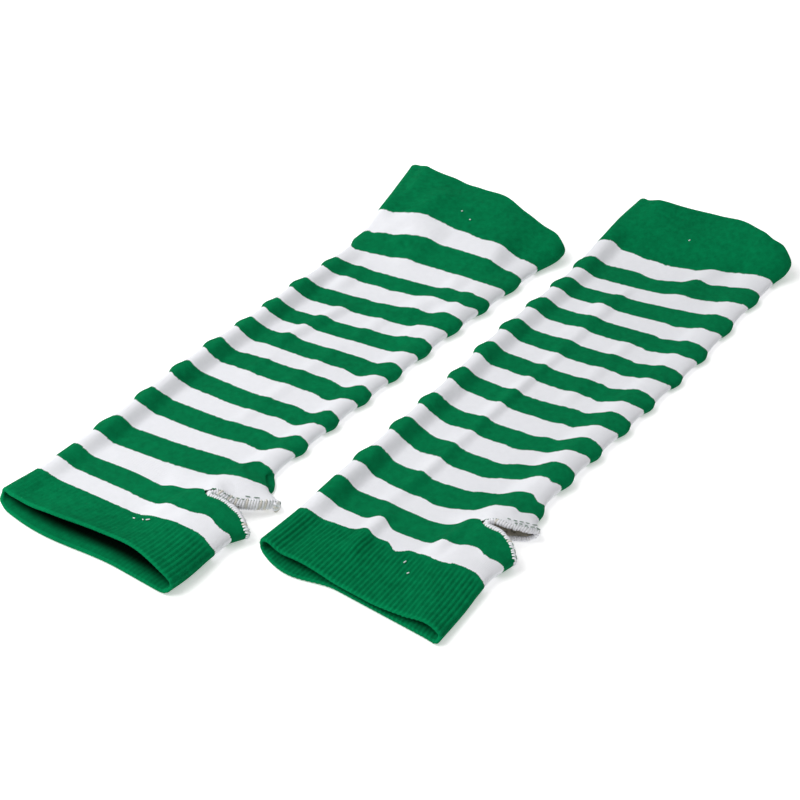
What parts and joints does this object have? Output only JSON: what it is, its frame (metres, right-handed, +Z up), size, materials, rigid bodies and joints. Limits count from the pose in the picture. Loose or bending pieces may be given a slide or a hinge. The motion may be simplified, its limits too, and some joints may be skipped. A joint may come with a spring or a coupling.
{
  "type": "pair of long fingerless gloves",
  "caption": "Pair of long flat-laid knitted fingerless gloves in green and white stripes, each with ribbed hand cuff, open thumb slit and plain arm cuff.",
  "frame": {"origin": "on the surface that the gloves lie on, under the middle of the box round the pair", "axes": "+Z up from that surface; +Y along the gloves from their hand ends to their arm ends; +X across, from the left glove to the right one"},
  "size_m": [0.2206, 0.3794, 0.0165],
  "materials": {
    "green_rib": "matte ribbed knit",
    "green_knit": "matte plain knit",
    "striped_knit": "matte plain knit, striped green and white in equal bands",
    "white_edging": "matte overlocked yarn edging"
  },
  "bodies": {
    "root": {"left_hand_cuff": "green_rib", "left_palm_band": "striped_knit", "left_sleeve": "striped_knit", "left_arm_cuff": "green_knit", "left_thumb_binding": "white_edging", "right_hand_cuff": "green_rib", "right_palm_band": "striped_knit", "right_sleeve": "striped_knit", "right_arm_cuff": "green_knit", "right_thumb_binding": "white_edging"}
  },
  "joints": []
}
